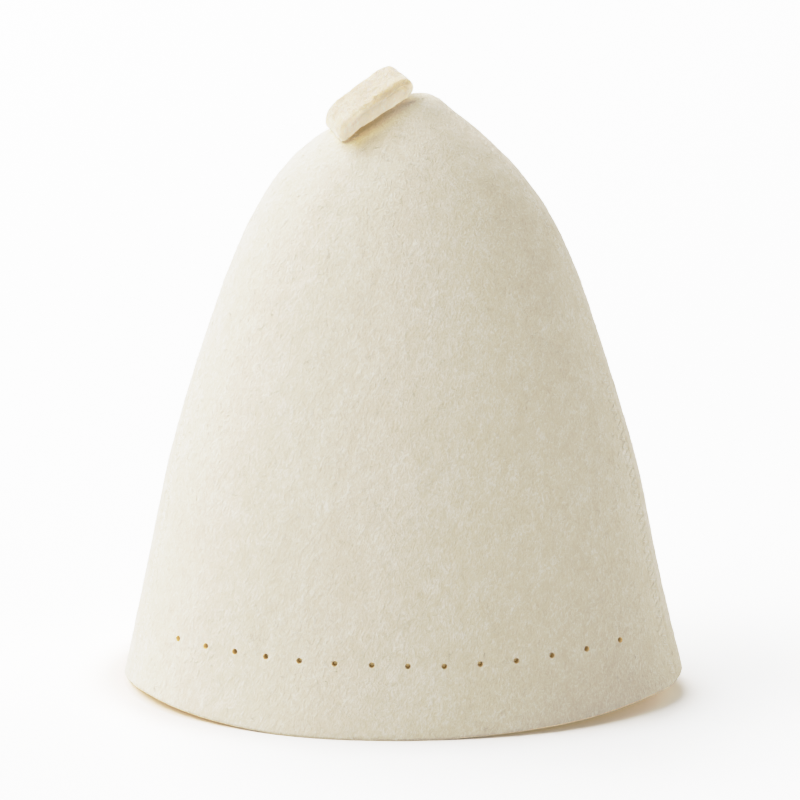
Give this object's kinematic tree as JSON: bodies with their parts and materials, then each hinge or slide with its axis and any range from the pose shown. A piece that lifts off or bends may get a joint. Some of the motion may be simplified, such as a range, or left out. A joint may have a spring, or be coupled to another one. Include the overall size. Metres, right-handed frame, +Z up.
{
  "type": "sauna hat",
  "caption": "Tall bell-shaped felt sauna hat sewn from panels, with a row of small pierced holes above the open rim and a folded felt hanging loop at the crown.",
  "frame": {"origin": "middle of the open rim, at the level of the surface that the hat stands on", "axes": "+Z up from the rim to the crown, +X to the right of the side with the pierced holes as one looks at it, +Y to the back"},
  "size_m": [0.2452, 0.1616, 0.2735],
  "materials": {
    "front_felt": "matt pressed wool felt",
    "back_felt": "matt pressed wool felt",
    "loop_felt": "matt pressed wool felt"
  },
  "bodies": {
    "root": {"front_panel": "front_felt", "back_panel": "back_felt", "hanging_loop": "loop_felt"}
  },
  "joints": []
}
